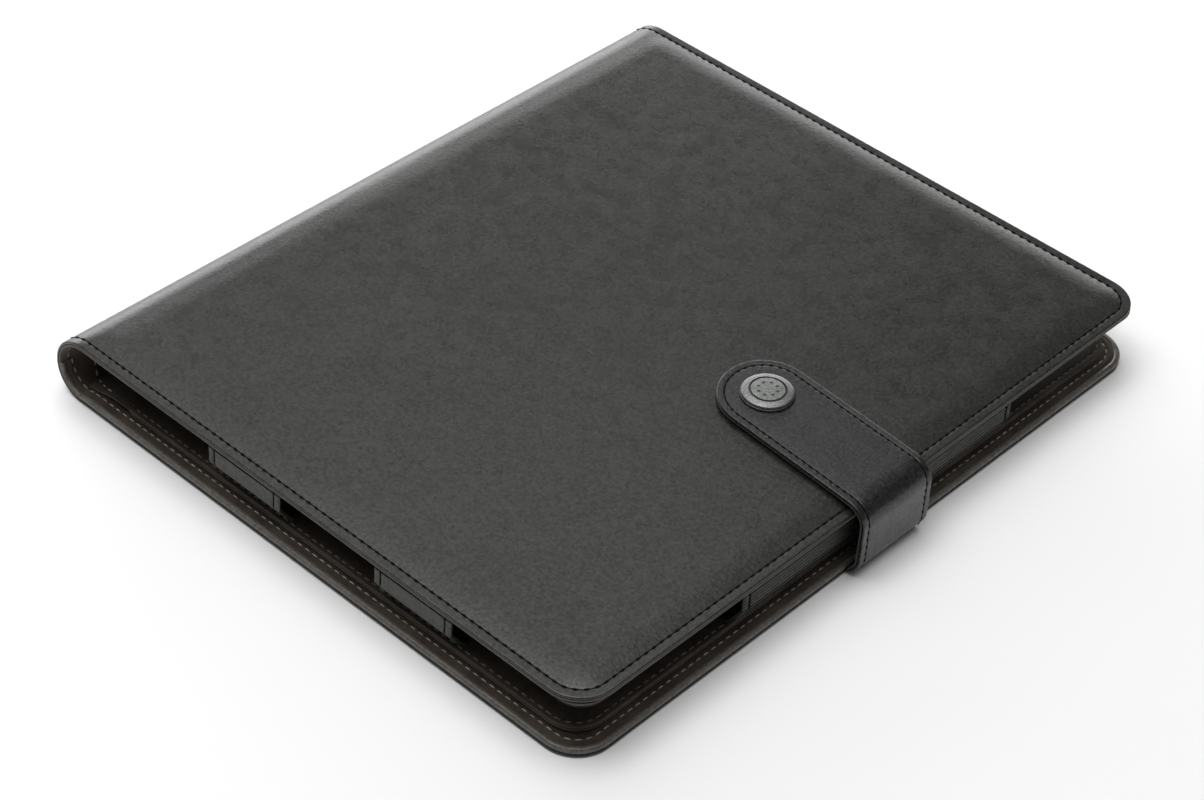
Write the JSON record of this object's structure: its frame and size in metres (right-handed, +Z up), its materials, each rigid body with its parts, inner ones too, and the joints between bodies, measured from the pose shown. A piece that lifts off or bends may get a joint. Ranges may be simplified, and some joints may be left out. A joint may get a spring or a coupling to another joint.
{
  "type": "tablet case",
  "caption": "Book-style leather tablet case: a folding spine, a framed pocket on a stitched page, and a strap with a round snap that holds it shut.",
  "frame": {"origin": "on the resting face, under the middle of the tablet pocket", "axes": "+X from the spine to the strap side, +Y along the spine, +Z up out of the front cover"},
  "size_m": [0.2159, 0.2476, 0.0278],
  "materials": {
    "black_leather": "smooth fine grain, soft sheen",
    "tab_leather": "smooth fine grain, matt",
    "brown_lining": "dark brown microfibre",
    "board": "pressed fibre board",
    "foam": "thin padding",
    "snap_metal": "pewter, fine speckle",
    "snap_dark": "dark plated"
  },
  "bodies": {
    "back": {"back_board": "board", "back_lining": "brown_lining", "back_outer": "black_leather", "frame_card": "board", "frame_leather": "black_leather", "frame_lining": "brown_lining", "page_board": "board", "page_leaf": "brown_lining", "page_lining": "brown_lining", "page_skin": "black_leather", "strap_tail": "black_leather", "tab_far_spine": "tab_leather", "tab_far_strap": "tab_leather", "tab_long_side": "tab_leather", "tab_near_spine": "tab_leather", "tab_near_strap": "tab_leather"},
    "spine_1": {"spine_outer_1": "black_leather", "spine_lining_1": "brown_lining"},
    "spine_2": {"spine_outer_2": "black_leather", "spine_lining_2": "brown_lining"},
    "spine_3": {"spine_outer_3": "black_leather", "spine_lining_3": "brown_lining"},
    "spine_4": {"spine_outer_4": "black_leather", "spine_lining_4": "brown_lining"},
    "spine_5": {"spine_outer_5": "black_leather", "spine_lining_5": "brown_lining"},
    "front": {"front_board": "board", "front_foam": "foam", "front_lining": "brown_lining", "front_outer": "black_leather", "snap_rivet": "snap_dark", "snap_stud": "snap_dark"},
    "strap_side": {"strap_side_outer": "black_leather", "strap_side_lining": "brown_lining"},
    "strap_top": {"strap_top_outer": "black_leather", "strap_top_lining": "brown_lining", "strap_top_card": "board", "snap_socket": "snap_dark", "snap_cap": "snap_metal", "cap_rim": "snap_dark"}
  },
  "joints": [
    {"name": "cover_open", "type": "hinge", "parent": "back", "child": "spine_3", "pos_m": [-0.11227, 0, 0.00198], "axis": [0, -1, 0], "range_deg": [0, 88.5]},
    {"name": "cover_fold", "type": "hinge", "parent": "spine_3", "child": "front", "pos_m": [-0.11227, 0, 0.02052], "axis": [0, -1, 0], "range_deg": [0, 88.5]},
    {"name": "spine_curl_1", "type": "hinge", "parent": "back", "child": "spine_1", "pos_m": [-0.1067, 0, 0], "axis": [0, -1, 0], "range_deg": [0, 29.5]},
    {"name": "spine_curl_2", "type": "hinge", "parent": "spine_1", "child": "spine_2", "pos_m": [-0.11176, 0, 0.00292], "axis": [0, -1, 0], "range_deg": [0, 29.5]},
    {"name": "spine_curl_5", "type": "hinge", "parent": "front", "child": "spine_5", "pos_m": [-0.1067, 0, 0.0225], "axis": [0, 1, 0], "range_deg": [0, 29.5]},
    {"name": "spine_curl_4", "type": "hinge", "parent": "spine_5", "child": "spine_4", "pos_m": [-0.11176, 0, 0.01958], "axis": [0, 1, 0], "range_deg": [0, 29.5]},
    {"name": "strap_lift", "type": "hinge", "parent": "back", "child": "strap_side", "pos_m": [0.1016, 0, 0.004], "axis": [0, 1, 0], "range_deg": [0, 85]},
    {"name": "strap_unsnap", "type": "hinge", "parent": "strap_side", "child": "strap_top", "pos_m": [0.1016, 0, 0.0206], "axis": [0, 1, 0], "range_deg": [0, 75]}
  ],
  "couplings": [
    {"joint": "cover_fold", "follows": "cover_open", "ratio": 1},
    {"joint": "spine_curl_1", "follows": "cover_open", "ratio": 0.33333},
    {"joint": "spine_curl_2", "follows": "cover_open", "ratio": 0.33333},
    {"joint": "spine_curl_5", "follows": "cover_open", "ratio": 0.33333},
    {"joint": "spine_curl_4", "follows": "cover_open", "ratio": 0.33333}
  ]
}
